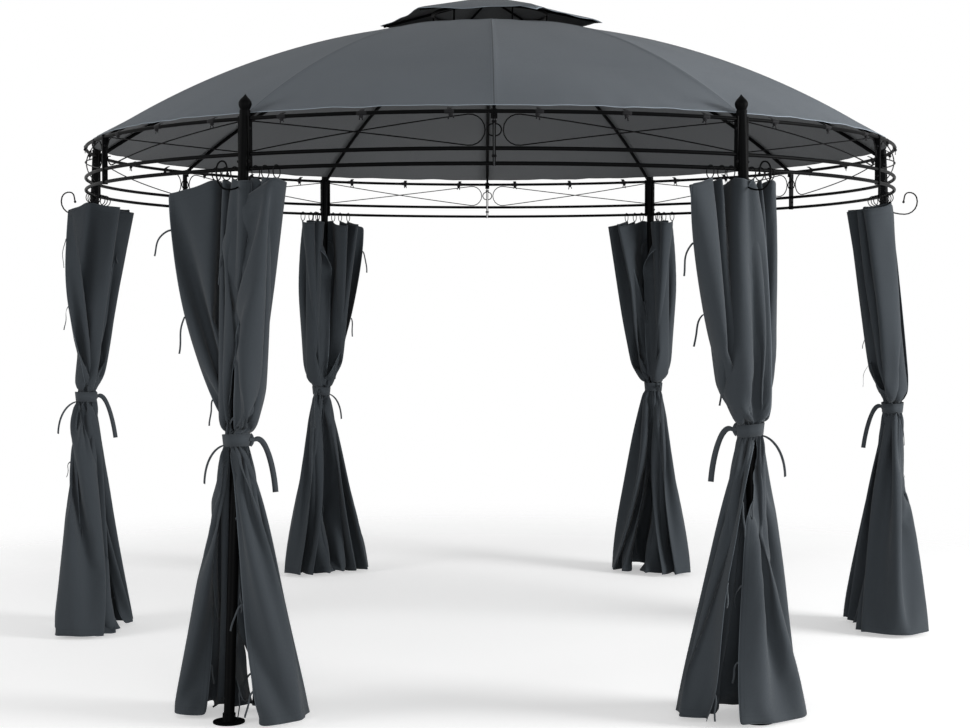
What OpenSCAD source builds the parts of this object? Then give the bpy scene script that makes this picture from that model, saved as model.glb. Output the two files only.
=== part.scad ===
// Round garden gazebo: six tube posts carry a ring of scrolled panels, twelve arched ribs,
// a domed fabric roof with a raised vent cap, and a tied curtain at every post.
// Millimetres, +Z up, origin on the ground at the centre, -Y is the front.

/* [Plan] */
// Radius of the circle through the post axes at the top of the posts
ring_r = 1750; // [1500:10:2100]
// How far each foot stands outside that circle
foot_splay = 110; // [0:5:160]

/* [Posts] */
// Outside diameter of a post tube
post_d = 38; // [32:1:48]
// Wall of a post tube
post_wall = 1.5; // [1:0.1:4]
// Height of a post above the top ring tube's axis
post_rise = 30; // [25:1:60]
// Diameter of the foot plate
foot_plate_d = 112; // [100:1:160]
// Thickness of the foot plate
foot_plate_t = 5; // [3:0.5:10]
// Wall of the collar round the post's foot
foot_collar_wall = 4; // [2:0.5:8]
// Height of the collar above the ground
foot_collar_h = 32; // [15:1:80]
// Diameter of an anchor hole
anchor_hole_d = 9; // [6:0.5:12]
// Diameter of the circle of anchor holes
anchor_pcd = 84; // [78:1:88]
// Anchor holes in each foot plate
anchor_holes = 3; // [2:1:6]

/* [Finials] */
// Height of a finial above the post
finial_h = 58; // [40:1:90]
// Widest diameter of a finial
finial_d = 47; // [40:1:70]
// Diameter of the finial's neck
finial_neck_d = 31; // [24:1:36]
// Length of the spigot inside the post
spigot_l = 40; // [20:1:80]

/* [Ring panels] */
// Height of the top ring tube's axis
ring_top_z = 2120; // [1900:5:2400]
// Drop from the top tube to the middle tube
ring_mid_drop = 125; // [100:1:180]
// Drop from the middle tube to the low tube
ring_low_drop = 51; // [45:1:100]
// Diameter of a ring tube
ring_tube_d = 14; // [12:0.5:20]
// Thickness of the flat bar that bolts to the post
post_bar_t = 5; // [3:0.5:8]
// Thickness of a panel's end bar at the middle of the bay
mid_bar_w = 4; // [3:0.5:8]
// Gap between the two end bars at the middle of a bay
mid_gap = 3; // [2:0.5:6]
// Diameter of the spacers that close that gap
spacer_d = 9; // [7:0.5:12]
// Drop from the top tube to the upper spacer
spacer_drop = 35; // [30:1:45]
// Depth of the end bars, in from the outside
end_bar_depth = 20; // [18:1:26]
// Diameter of the scroll wire
wire_d = 5; // [3:0.5:7]
// Radius of the small half circle on the middle bar
half_circle_r = 20; // [14:1:26]

/* [Roof] */
// Rise from the top ring tube to the crown
crown_rise = 550; // [400:5:700]
// Outside radius of the crown hoop
crown_r = 262; // [200:2:340]
// Height of the crown hoop
crown_h = 46; // [30:1:80]
// Thickness of the crown hoop
crown_t = 4; // [2:0.5:8]
// Diameter of a rib tube
rib_d = 16; // [12:0.5:20]
// Radius that the ribs are bent to
rib_bend_r = 3500; // [2600:20:5000]
// Thickness of the canopy
canopy_t = 3; // [2:0.5:6]

/* [Vent cap] */
// Radius to the corners of the vent cap
vent_r = 495; // [420:5:600]
// Height of the vent cap's point above the crown
vent_rise = 155; // [140:1:260]
// Height of the vent cap from hem to point
vent_h = 115; // [90:1:140]
// Diameter of the vent cap's rods
vent_rod_d = 10; // [8:0.5:14]
// Diameter of the uprights under the vent cap
vent_post_d = 8; // [6:0.5:12]
// Diameter of the ring tube on top of the uprights
vent_ring_d = 14; // [12:0.5:20]
// Diameter of the hub under the vent cap
vent_hub_d = 60; // [40:1:90]
// Turn of the vent cap from the posts, in degrees
vent_turn = -8; // [-30:1:30]

/* [Curtains] */
// Width of a curtain along its hung top
curtain_top_w = 400; // [300:5:520]
// Depth of a curtain at its top
curtain_top_depth = 250; // [160:5:320]
// Width of a curtain at its hem
curtain_hem_w = 450; // [350:5:600]
// Depth of a curtain at its hem
curtain_hem_depth = 370; // [260:5:440]
// How far the hem's middle hangs inside the post
hem_in = 90; // [0:5:120]
// Diameter of the tied waist
waist_d = 88; // [80:1:130]
// Height of the waist
waist_z = 1020; // [800:5:1300]
// Height of the hem above the ground
hem_z = 12; // [6:1:60]
// Clearance from a foot collar to the curtain halves beside it
curtain_clear = 2; // [1:0.5:16]
// Outside diameter of a curtain ring
curtain_ring_d = 50; // [40:1:70]
// Thickness of a curtain ring's wire
curtain_ring_wire = 4; // [3:0.5:6]
// Height of the tieback band
tie_band_h = 36; // [20:1:60]
// Thickness of the tieback band
tie_band_t = 2.5; // [1.5:0.5:5]

/* [Hooks] */
// Diameter of the hook rod
hook_rod_d = 6.5; // [5:0.5:9]
// Radius of the hook's large bend
hook_bend_r = 56; // [45:1:75]
// Height of the bottom of the hook's bend below the low ring tube
hook_drop = 79; // [60:1:140]
// Distance of the hook's large bend from the post axis
hook_reach = 90; // [80:1:140]
// Diameter of the ball on the hook's end
hook_ball_d = 12; // [10:0.5:18]

/* [Hidden] */

PLACES = ["front_left", "front_right", "right", "back_right", "back_left", "left"];
frame_colour = "#1c1d1f";
canopy_colour = "#6b7178";
curtain_colour = "#3b3f45";
ring_colour = "#202124";
$fn = 48;
// Facets of a full turn on the long bends of rings and ribs
long_bend_fn = 480;
// Facets round a bent tube
tube_fn = 32;

// Clearance where one piece seats on the next
seat = 0.3;
// How far cuts run past the faces they cut
overrun = 20;
// Depth that a welded end sinks into the bar that carries it
weld = 1;

// Angles of the plan
bays = len(PLACES);
bay_angle = 360 / bays;
half_bay = bay_angle / 2;
first_post_angle = -120;
function post_angle(i) = first_post_angle + bay_angle * i;

// Posts
foot_collar_d = post_d + 2 * foot_collar_wall;
post_top_z = ring_top_z + post_rise;
post_lean = atan(foot_splay / post_top_z);
post_axis_l = post_top_z / cos(post_lean);
post_run = post_axis_l + overrun;
function post_out(z) = foot_splay * (1 - z / post_top_z);

// Ring levels
ring_mid_z = ring_top_z - ring_mid_drop;
ring_low_z = ring_mid_z - ring_low_drop;
bar_over = 2;
bar_z = ring_low_z - ring_tube_d / 2 - bar_over;
bar_h = ring_top_z + ring_tube_d / 2 + bar_over - bar_z;
post_side = post_d / 2 / cos(post_lean) + seat;
mid_side = mid_gap / 2;
spacer_l = mid_side + weld - seat / 2;
post_bar_angle = asin((post_side + post_bar_t / 2) / ring_r);
mid_bar_angle = half_bay - asin((mid_side + mid_bar_w / 2) / ring_r);

// Scroll wire: two straight strands cross at the middle of the panel and run into a round bend
scroll_z = ring_top_z - ring_mid_drop / 2;
scroll_a = ring_mid_drop / 2 - ring_tube_d / 2 - wire_d / 2 - seat;
panel_l = ring_r * half_bay * PI / 180;
scroll_start = post_side + post_bar_t + wire_d;
scroll_bend = panel_l - mid_side - mid_bar_w - half_circle_r - wire_d - seat - scroll_a;
scroll_slope = 2 * atan(scroll_a / (scroll_bend - scroll_start));
scroll_end = scroll_bend - scroll_a * sin(scroll_slope);
scroll_cross = (wire_d + seat) / 2;
strand_steps = 14;
bend_steps = 10;
rod_sides = 6;

// Roof arc, from the eave point on the ring to the crown
eave_z = ring_top_z - ring_tube_d / 2;
crown_z = ring_top_z + crown_rise;
arc_run = ring_r - crown_r;
arc_rise = crown_z - eave_z;
arc_half = norm([arc_run, arc_rise]) / 2;
arc_tilt = atan(arc_rise / arc_run);
arc_in = sqrt(rib_bend_r * rib_bend_r - arc_half * arc_half);
arc_x = (ring_r + crown_r) / 2 - arc_in * sin(arc_tilt);
arc_z = (eave_z + crown_z) / 2 - arc_in * cos(arc_tilt);
eave_angle = 90 - arc_tilt - asin(arc_half / rib_bend_r);
crown_angle = 90 - arc_tilt + asin(arc_half / rib_bend_r);
rib_tab_t = 4;
rib_tab_w = 22;
rib_tab_h = 34;
rib_over_angle = 1;
post_foot_r = ring_r + post_out(eave_z) - post_side;
mid_foot_r = ring_r - end_bar_depth / 2 - seat;

// Canopy: flat gores between ribs that round out to a circle at the hem
canopy_rings = 8;
canopy_step = (crown_angle - eave_angle) / canopy_rings;
canopy_in_r = (rib_bend_r + rib_d / 2 + seat) / cos(canopy_step / 2);
canopy_out_r = canopy_in_r + canopy_t;
hem_clear = post_d / 2 + seat + canopy_t;
hem_angle = acos((ring_r - hem_clear - arc_x) / canopy_out_r);
vent_angle = acos((crown_r - crown_t / 2 - arc_x) / canopy_in_r);
gore_steps = 3;
ribs = 2 * bays;
gore_angle = 360 / ribs;
canopy_n = ribs * gore_steps;
round_share = 0.25;

// Vent cap
vent_tilt = atan(vent_h / vent_r);
vent_point_z = crown_z + vent_rise;
vent_skin = canopy_t / cos(vent_tilt);
// Underside of the vent cap's skin at a radius, where a panel dips lowest
function vent_skin_z(r) = vent_point_z - vent_skin - r * tan(vent_tilt) / cos(half_bay);
vent_axis_z = vent_point_z - vent_skin - (vent_rod_d / 2 + seat) / cos(vent_tilt);
vent_post_r = crown_r - crown_t - seat - vent_post_d / 2;
vent_ring_out_r = vent_post_r + vent_ring_d / 2;
vent_ring_z = vent_skin_z(vent_ring_out_r) - vent_ring_d / 2 - seat;
vent_hub_r = vent_hub_d / 2;
vent_hub_h = 2 * vent_rod_d;
vent_hub_top_z = vent_skin_z(vent_hub_r) - seat;
vent_arm_shares = [0.6, 0.97];
vent_arm_in_r = vent_hub_r * vent_arm_shares[0];
vent_arm_l = (vent_r * vent_arm_shares[1] - vent_arm_in_r) / cos(vent_tilt);
hoop_top_z = crown_z + rib_d / 2;

// Curtains
ring_wire_r = curtain_ring_wire / 2;
curtain_ring_r = curtain_ring_d / 2 - ring_wire_r;
curtain_ring_z = ring_low_z + ring_tube_d / 2 + seat - curtain_ring_r + ring_wire_r;
curtain_top_z = curtain_ring_z - curtain_ring_d / 2 - seat;
curtain_ring_shares = [0.12, 0.35, 0.62];
curtain_half_gap = foot_collar_d / 2 + curtain_clear;
waist_half_gap = seat;
pleats = 3;
pleat_points = 4;
outer_steps = pleats * pleat_points;
outer_per_inner = 2;
inner_steps = outer_steps / outer_per_inner;
pleat_share = 0.16;
inner_share = 0.5;
inner_bow = 4;
upper_shares = [0.12, 0.4, 0.72, 1];
lower_shares = [1, 0.75, 0.4, 0.12];
upper_power = 0.5;
lower_power = 0.9;
waist_r = waist_d / 2;
waist_in_r = post_side / cos(90 / inner_steps);
tie_low_z = waist_z - tie_band_h / 2;
tie_high_z = waist_z + tie_band_h / 2;

// Hooks
hook_low_z = ring_low_z - hook_drop;
hook_root_r = 180;
hook_root_share = 0.2;
hook_root_x = post_d / 2 + seat + hook_root_share * hook_rod_d / 2;
hook_root_angle = asin((hook_reach - hook_root_x) / hook_root_r);
hook_ball_angles = [-57, -20, 20, 55, 80];
hook_turn_1 = 20;
hook_turn_2 = 100;
hook_turn_3 = 170;
hook_top_share = 0.6;
hook_tip_share = 0.36;
hook_tip_l = 26;

module at_post(i) {
    rotate([0, 0, post_angle(i)]) translate([ring_r, 0, 0]) children();
}

// The origin goes to the top of the post, with -Z down its leaning axis
module on_post_axis() {
    translate([0, 0, post_top_z]) rotate([0, -post_lean, 0]) children();
}

module post(i) {
    color(frame_colour) at_post(i) difference() {
        union() {
            difference() {
                union() {
                    on_post_axis() translate([0, 0, -post_run])
                        cylinder(h = post_run, d = post_d);
                    on_post_axis() translate([0, 0, -post_run])
                        cylinder(h = overrun + foot_collar_h, d = foot_collar_d);
                }
                translate([foot_splay, 0, -2 * overrun])
                    cylinder(h = 2 * overrun, d = foot_plate_d);
            }
            translate([foot_splay, 0, 0]) cylinder(h = foot_plate_t, d = foot_plate_d);
        }
        difference() {
            on_post_axis() translate([0, 0, -post_run])
                cylinder(h = post_run + overrun, d = post_d - 2 * post_wall);
            translate([foot_splay, 0, -2 * overrun])
                cylinder(h = 2 * overrun + foot_plate_t, d = foot_plate_d);
        }
        for (k = [0:anchor_holes - 1])
            translate([foot_splay, 0, 0]) rotate([0, 0, 180 + 360 * k / anchor_holes])
                translate([anchor_pcd / 2, 0, -overrun])
                    cylinder(h = foot_plate_t + 2 * overrun, d = anchor_hole_d);
    }
}

// Pointed onion: a round belly that draws in to a fine tip, on a neck and a spigot
finial_belly_share = 0.4;
finial_steps = 14;
function finial_r(t) =
    t < finial_belly_share
        ? finial_neck_d / 2 + (finial_d - finial_neck_d) / 2 * sin(90 * t / finial_belly_share)
        : finial_d / 2 * pow(cos(90 * (t - finial_belly_share) / (1 - finial_belly_share)), 1.4);

module finial() {
    spigot_r = post_d / 2 - post_wall - seat;
    rotate_extrude()
        polygon(concat(
            [[0, -spigot_l], [spigot_r, -spigot_l], [spigot_r, seat]],
            [for (k = [0:finial_steps - 1])
                [finial_r(k / finial_steps), seat + finial_h * k / finial_steps]],
            [[0, seat + finial_h]]));
}

module finials() {
    color(frame_colour) for (i = [0:bays - 1]) at_post(i) on_post_axis() finial();
}

function on_ring(s, out, z) =
    let (a = s / ring_r * 180 / PI)
    [(ring_r + out) * cos(a), (ring_r + out) * sin(a), z];

function strand(up) = [
    for (k = [0:strand_steps])
        let (t = k / strand_steps)
        on_ring(scroll_start + (scroll_end - scroll_start) * t,
                up * scroll_cross * sin(180 * t),
                scroll_z + up * scroll_a * (1 - (1 + cos(scroll_slope)) * t))
];

function bend() = [
    for (k = [1:bend_steps - 1])
        let (half = 90 + scroll_slope, a = half * (2 * k / bend_steps - 1))
        on_ring(scroll_bend + scroll_a * cos(a), 0, scroll_z + scroll_a * sin(a))
];

function reversed(list) = [for (k = [len(list) - 1:-1:0]) list[k]];

// A rod of few sides swept along points, with a radius and an across direction at each
module swept_rod(points, radii, across) {
    n = len(points);
    rings = [
        for (k = [0:n - 1])
            let (
                ahead = points[min(k + 1, n - 1)] - points[max(k - 1, 0)],
                run = ahead / norm(ahead),
                side_raw = cross(run, across[k]),
                side = side_raw / norm(side_raw),
                lift = cross(side, run)
            )
            [for (j = [0:rod_sides - 1])
                let (a = 360 * j / rod_sides)
                points[k] + radii[k] * (lift * cos(a) + side * sin(a))]
    ];
    polyhedron(
        points = [for (r = rings) each r],
        faces = concat(
            [[for (j = [0:rod_sides - 1]) j]],
            [for (k = [0:n - 2], j = [0:rod_sides - 1])
                let (a = k * rod_sides + j, b = k * rod_sides + (j + 1) % rod_sides)
                each [[a, a + rod_sides, b], [b, a + rod_sides, b + rod_sides]]],
            [[for (j = [rod_sides - 1:-1:0]) (n - 1) * rod_sides + j]]));
}

module scroll_wire() {
    path = concat(strand(1), bend(), reversed(strand(-1)));
    swept_rod(path, [for (p = path) wire_d / 2], [for (p = path) [p[0], p[1], 0]]);
}

// One half of a bay: three ring tubes between a flat bar at the post and a bar at mid-bay
module panel_body() {
    for (z = [ring_top_z, ring_mid_z, ring_low_z])
        rotate([0, 0, post_bar_angle])
            rotate_extrude(angle = mid_bar_angle - post_bar_angle, $fn = long_bend_fn)
                translate([ring_r, z]) circle(d = ring_tube_d, $fn = tube_fn);
    translate([ring_r - end_bar_depth / 2, post_side, bar_z])
        cube([end_bar_depth, post_bar_t, bar_h]);
    rotate([0, 0, half_bay]) {
        translate([ring_r - end_bar_depth / 2, -mid_side - mid_bar_w, bar_z])
            cube([end_bar_depth, mid_bar_w, bar_h]);
        for (z = [ring_top_z - spacer_drop, (ring_mid_z + ring_low_z) / 2])
            translate([ring_r, -mid_side - weld, z]) rotate([-90, 0, 0])
                cylinder(h = spacer_l, d = spacer_d);
        translate([ring_r, weld - mid_side - mid_bar_w, scroll_z])
            rotate([0, 90, 0]) rotate([0, 0, 180])
                rotate_extrude(angle = 180) translate([half_circle_r, 0]) circle(d = wire_d);
    }
}

module ring_panel(k) {
    i = floor(k / 2);
    color(frame_colour) rotate([0, 0, post_angle(i)]) mirror([0, k % 2, 0]) {
        panel_body();
        scroll_wire();
    }
}

// Bent tube with a bolted tab at its foot, cut to the hoop at its head
module rib(k) {
    foot_r = k % 2 == 0 ? post_foot_r : mid_foot_r;
    color(frame_colour) rotate([0, 0, first_post_angle + gore_angle * k]) {
        difference() {
            translate([arc_x, 0, arc_z]) rotate([90, 0, 0])
                rotate([0, 0, eave_angle - rib_over_angle])
                    rotate_extrude(angle = crown_angle - eave_angle + 2 * rib_over_angle, $fn = long_bend_fn)
                        translate([rib_bend_r, 0]) circle(d = rib_d, $fn = tube_fn);
            translate([foot_r - weld, -ring_r / 2, 0]) cube([ring_r, ring_r, 2 * crown_z]);
            cylinder(h = 2 * crown_z, r = crown_r + seat);
        }
        translate([foot_r - rib_tab_t, -rib_tab_w / 2, eave_z - rib_tab_h / 2])
            cube([rib_tab_t, rib_tab_w, rib_tab_h]);
    }
}

module crown_hoop() {
    color(frame_colour) translate([0, 0, hoop_top_z - crown_h]) difference() {
        cylinder(h = crown_h, r = crown_r);
        translate([0, 0, -overrun]) cylinder(h = crown_h + 2 * overrun, r = crown_r - crown_t);
    }
}

function vent_axis_at(r) = vent_axis_z - r * tan(vent_tilt);

// Six sloping arms on a hub, carried by a ring on uprights that stand inside the crown hoop
module vent_frame() {
    foot_z = hoop_top_z - crown_h;
    arm_z = vent_axis_at(vent_post_r);
    color(frame_colour) rotate([0, 0, vent_turn]) {
        for (i = [0:bays - 1]) rotate([0, 0, post_angle(i)]) {
            translate([vent_arm_in_r, 0, vent_axis_at(vent_arm_in_r)]) rotate([0, 90 + vent_tilt, 0])
                cylinder(h = vent_arm_l, d = vent_rod_d);
            translate([vent_post_r, 0, foot_z]) cylinder(h = arm_z - foot_z, d = vent_post_d);
        }
        translate([0, 0, vent_ring_z])
            rotate_extrude() translate([vent_post_r, 0]) circle(d = vent_ring_d);
        translate([0, 0, vent_hub_top_z - vent_hub_h]) cylinder(h = vent_hub_h, d = vent_hub_d);
    }
}

function gore_factor(m, j) =
    let (
        off = (m % gore_steps) / gore_steps * gore_angle - gore_angle / 2,
        flat = cos(gore_angle / 2) / cos(off),
        rounding = max(0, 1 - j / canopy_rings / round_share)
    )
    flat + (1 - flat) * rounding;

function canopy_ring(r, j) =
    let (
        a = hem_angle + (vent_angle - hem_angle) * j / canopy_rings,
        x = arc_x + r * cos(a),
        z = arc_z + r * sin(a)
    )
    [for (m = [0:canopy_n - 1])
        let (turn = first_post_angle + 360 * m / canopy_n, f = gore_factor(m, j))
        [x * f * cos(turn), x * f * sin(turn), z]];

// Closed wall between an outer and an inner grid of rings, open at both ends
module walled_grid(outer, inner) {
    rows = len(outer);
    n = len(outer[0]);
    half = rows * n;
    polyhedron(
        points = concat([for (r = outer) each r], [for (r = inner) each r]),
        faces = [
            for (j = [0:n - 1])
                let (b = (j + 1) % n, top = (rows - 1) * n)
                each concat(
                    [for (k = [0:rows - 2])
                        let (p = k * n)
                        each [[p + j, p + n + j, p + b], [p + b, p + n + j, p + n + b],
                              [half + p + j, half + p + b, half + p + n + j],
                              [half + p + b, half + p + n + b, half + p + n + j]]],
                    [[j, b, half + j], [b, half + b, half + j],
                     [top + j, half + top + j, top + b], [top + b, half + top + j, half + top + b]])
        ]);
}

module roof_canopy() {
    color(canopy_colour) walled_grid(
        [for (j = [0:canopy_rings]) canopy_ring(canopy_out_r, j)],
        [for (j = [0:canopy_rings]) canopy_ring(canopy_in_r, j)]);
}

module vent_canopy() {
    color(canopy_colour) rotate([0, 0, first_post_angle + vent_turn])
        translate([0, 0, vent_point_z - vent_h]) difference() {
            cylinder(h = vent_h, r1 = vent_r, r2 = 0, $fn = bays);
            translate([0, 0, -vent_skin]) cylinder(h = vent_h, r1 = vent_r, r2 = 0, $fn = bays);
        }
}

// Half size of a curtain at a share of the way from its waist to an end
function swell(end_half, share, power) = waist_r + (end_half - waist_r) * pow(sin(90 * share), power);

// Outline of one gathered half: a fluted outer arc, then an inner arc that clears the post
function half_loop(z, depth, w, inward, share, power) =
    let (
        half_depth = swell(depth / 2, share, power),
        gap = waist_half_gap + (curtain_half_gap - waist_half_gap) * share,
        half_w = swell(w / 2, share, power) - gap,
        middle = post_out(z) - inward * share * share,
        inner_x = waist_in_r + (inner_share * half_depth - waist_in_r) * share,
        inner_y = max(inner_bow, waist_in_r + curtain_clear * share - gap)
    )
    concat(
        [for (k = [0:outer_steps])
            let (
                a = 90 - 180 * k / outer_steps,
                flute = 1 - pleat_share * share * (1 - cos(360 * k / pleat_points)) / 2
            )
            [middle + half_depth * flute * sin(a), gap + half_w * flute * cos(a), z]],
        [for (k = [0:inner_steps])
            let (a = -90 + 180 * k / inner_steps)
            [middle + inner_x * sin(a), gap + inner_y * cos(a), z]]);

function hem_side_loop(share) =
    half_loop(tie_low_z + (hem_z - tie_low_z) * share, curtain_hem_depth, curtain_hem_w,
              hem_in, share, lower_power);

function top_side_loop(share) =
    half_loop(tie_high_z + (curtain_top_z - tie_high_z) * share, curtain_top_depth, curtain_top_w,
              0, share, upper_power);

curtain_loops = concat(
    [for (s = lower_shares) hem_side_loop(s)],
    [hem_side_loop(0), top_side_loop(0)],
    [for (s = upper_shares) top_side_loop(s)]);

// Flat end between the outer and inner arcs of an outline that starts at point "first"
function end_cap(first, up) = [
    for (k = [0:inner_steps - 1])
        let (
            o = first + outer_per_inner * k,
            i = first + outer_steps + inner_steps - k + 1,
            strip = concat(
                [for (j = [0:outer_per_inner - 2]) [o + j, o + j + 1, i]],
                [[o + outer_per_inner - 1, i - 1, i], [o + outer_per_inner - 1, o + outer_per_inner, i - 1]])
        )
        each [for (f = strip) up ? [f[0], f[2], f[1]] : f]
];

// Closed solid through a stack of curtain outlines
module stacked(loops) {
    n = len(loops[0]);
    polyhedron(
        points = [for (l = loops) each l],
        faces = concat(
            end_cap(0, false),
            [for (k = [0:len(loops) - 2], j = [0:n - 1])
                let (a = k * n + j, b = k * n + (j + 1) % n)
                each [[a, a + n, b], [b, a + n, b + n]]],
            end_cap((len(loops) - 1) * n, true)));
}

// Two gathered halves, one from each bay beside the post
module curtain(i) {
    color(curtain_colour) at_post(i) for (side = [0, 1]) mirror([0, side, 0]) stacked(curtain_loops);
}

module curtain_rings() {
    half_run = curtain_top_w / 2 - curtain_half_gap;
    color(ring_colour) for (i = [0:bays - 1], s = curtain_ring_shares, side = [-1, 1])
        rotate([0, 0, post_angle(i) + side * asin((curtain_half_gap + s * half_run) / ring_r)])
            translate([ring_r, 0, curtain_ring_z]) rotate([90, 0, 0])
                rotate_extrude() translate([curtain_ring_r, 0]) circle(d = curtain_ring_wire);
}

module tiebacks() {
    color(curtain_colour) for (i = [0:bays - 1])
        at_post(i) on_post_axis()
            translate([0, 0, -(post_top_z - waist_z) / cos(post_lean) - tie_band_h / 2])
                difference() {
                    cylinder(h = tie_band_h, r = waist_r + seat + tie_band_t);
                    translate([0, 0, -overrun]) cylinder(h = tie_band_h + 2 * overrun, r = waist_r + seat);
                }
}

// Points of an arc in the upright plane through the post, without the last one
function upright_arc(center, r, from, to, steps) = [
    for (k = [0:steps - 1])
        let (a = from + (to - from) * k / steps)
        [center[0] + r * cos(a), 0, center[1] + r * sin(a)]
];

function step_in(center, gain, a) = center + gain * [cos(a), sin(a)];

// A rod that dips away from the post, curls up and over, and ends in a ball
module lantern_hook() {
    top_r = hook_bend_r * hook_top_share;
    tip_r = hook_bend_r * hook_tip_share;
    bend_c = [hook_reach, hook_bend_r];
    top_c = step_in(bend_c, hook_bend_r - top_r, hook_turn_1);
    tip_c = step_in(top_c, top_r - tip_r, hook_turn_2);
    tip = step_in(tip_c, tip_r, hook_turn_3);
    down = [-sin(hook_turn_3), 0, cos(hook_turn_3)];
    rod = concat(
        upright_arc([hook_reach, hook_root_r], hook_root_r, -90 - hook_root_angle, -90, 3),
        upright_arc(bend_c, hook_bend_r, -90, hook_turn_1, 6),
        upright_arc(top_c, top_r, hook_turn_1, hook_turn_2, 4),
        upright_arc(tip_c, tip_r, hook_turn_2, hook_turn_3, 3),
        [[tip[0], 0, tip[1]]]);
    ball = [for (a = hook_ball_angles) [tip[0], 0, tip[1]] + down * (hook_tip_l + hook_ball_d / 2 * sin(a))];
    path = concat(rod, ball);
    swept_rod(path,
        concat([for (p = rod) hook_rod_d / 2], [for (a = hook_ball_angles) hook_ball_d / 2 * cos(a)]),
        [for (p = path) [0, 1, 0]]);
}

module lantern_hooks() {
    color(frame_colour) for (i = [0:bays - 1])
        at_post(i) translate([post_out(hook_low_z), 0, hook_low_z]) lantern_hook();
}

for (i = [0:bays - 1]) post(i);
finials();
for (k = [0:ribs - 1]) ring_panel(k);
for (k = [0:ribs - 1]) rib(k);
crown_hoop();
vent_frame();
roof_canopy();
vent_canopy();
for (i = [0:bays - 1]) curtain(i);
curtain_rings();
tiebacks();
lantern_hooks();
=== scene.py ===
import math

import bpy
import numpy as np
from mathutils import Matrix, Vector


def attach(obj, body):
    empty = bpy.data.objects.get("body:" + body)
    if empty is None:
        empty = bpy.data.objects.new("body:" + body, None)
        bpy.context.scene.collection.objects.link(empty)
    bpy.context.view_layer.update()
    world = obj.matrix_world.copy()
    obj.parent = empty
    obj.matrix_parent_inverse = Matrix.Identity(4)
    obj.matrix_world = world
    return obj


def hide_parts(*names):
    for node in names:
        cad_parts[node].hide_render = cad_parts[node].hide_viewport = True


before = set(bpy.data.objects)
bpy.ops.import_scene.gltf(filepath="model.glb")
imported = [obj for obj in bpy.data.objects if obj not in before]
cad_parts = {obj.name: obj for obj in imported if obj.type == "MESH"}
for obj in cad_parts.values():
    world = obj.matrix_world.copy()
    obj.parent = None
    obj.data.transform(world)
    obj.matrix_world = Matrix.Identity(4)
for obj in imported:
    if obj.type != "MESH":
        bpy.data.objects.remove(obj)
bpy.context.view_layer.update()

# Sizes of the frame, in metres and degrees
RING_R = 1.75
RING_TOP_Z = 2.120
RING_MID_Z = 1.995
RING_LOW_Z = 1.944
RING_TUBE_R = 0.007
POST_TOP_Z = 2.150
POST_R = 0.019
FOOT_SPLAY = 0.11
CROWN_R = 0.262
CROWN_Z = RING_TOP_Z + 0.550
EAVE_Z = RING_TOP_Z - RING_TUBE_R
RIB_BEND_R = 3.5
RIB_R = 0.008
BAYS = 6
RIBS = 2 * BAYS
FIRST_POST_ANGLE = math.radians(-120)
BAY_ANGLE = 2 * math.pi / BAYS
GORE_ANGLE = 2 * math.pi / RIBS
PLACES = ["front_left", "front_right", "right", "back_right", "back_left", "left"]
METAL_NODES = ["post", "finials", "ring_panel", "rib_", "crown_hoop", "vent_frame", "lantern_hooks"]

# The arc of the ribs, from the eave to the crown
ARC_RUN = RING_R - CROWN_R
ARC_RISE = CROWN_Z - EAVE_Z
ARC_HALF = math.hypot(ARC_RUN, ARC_RISE) / 2
ARC_TILT = math.atan2(ARC_RISE, ARC_RUN)
ARC_IN = math.sqrt(RIB_BEND_R**2 - ARC_HALF**2)
ARC_X = (RING_R + CROWN_R) / 2 - ARC_IN * math.sin(ARC_TILT)
ARC_Z = (EAVE_Z + CROWN_Z) / 2 - ARC_IN * math.cos(ARC_TILT)

# Canopy cloth
CLOTH_T = 0.0014
CANOPY_LIFT = 0.004
CANOPY_R = RIB_BEND_R + RIB_R + CANOPY_LIFT
HEM_R = 1.7277
VENT_EDGE_R = 0.2605
CANOPY_ROWS = 52
CANOPY_ROW_POWER = 1.25
ROUND_SHARE = 0.25
SEAM_RISE = 0.0018
SEAM_SHARE = 0.012
GORE_SHARES = [0, SEAM_SHARE] + [k / 24 for k in range(1, 24)] + [1 - SEAM_SHARE]
HEM_TIES = 36
HEM_LIFT = 0.006
HEM_LIFT_SHARE = 0.05
WRINKLE = 0.0016
WRINKLE_SHARE = 0.10
CREASE_DRIFT = 3
CREASE_TURNS = 5
CANOPY_WAVE = 0.0022
CANOPY_WAVES = 3
CANOPY_WAVE_TURNS = 2.3

# Hem ties: a wrap round the tube, a tape to the hem, a knot and two tails
TIE_LIFT = 0.0007
TIE_HALF = (0.013, 0.019)
TIE_SHIFT = 0.004
TIE_ROWS = 7
TIE_SIDES = 12
TIE_BULGE = 0.0008
TIE_BULGE_TURN = 1.4
TIE_RIPPLE = 0.0004
TIE_RIPPLES = 3
TIE_EDGE_OUT = 0.002
TIE_EDGE_UP = 0.016
TIE_ARCH = 0.001
TIE_W = 0.016
TIE_T = 0.0014
TIE_KNOT = (0.0085, 0.0070, 0.0065)
TIE_KNOT_OUT = 0.003
TIE_KNOT_DROP = 0.003
TIE_KNOT_SHIFT = 0.006
TIE_TAIL_REACH = (0.004, 0.010)
TIE_TAIL_DROP = (0.010, 0.020)
TIE_TAIL_BEND = (0.8, 0.5)
TIE_TAIL_TURN = (0.0, 0.2, 0.5)
TIE_TAIL_W = 0.005
TIE_TAIL_T = 0.0012

# Vent cap
VENT_R = 0.495
VENT_H = 0.115
VENT_POINT_Z = CROWN_Z + 0.155
VENT_TURN = math.radians(-8)
VENT_ROWS = 30
VENT_COLS = 16
VENT_LIFT = 0.0012
VENT_HEM_IN = 0.016
VENT_HEM_SAG = 0.005
VENT_SAG_POWER = 1.5
VENT_SAG_FROM = 0.58
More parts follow.
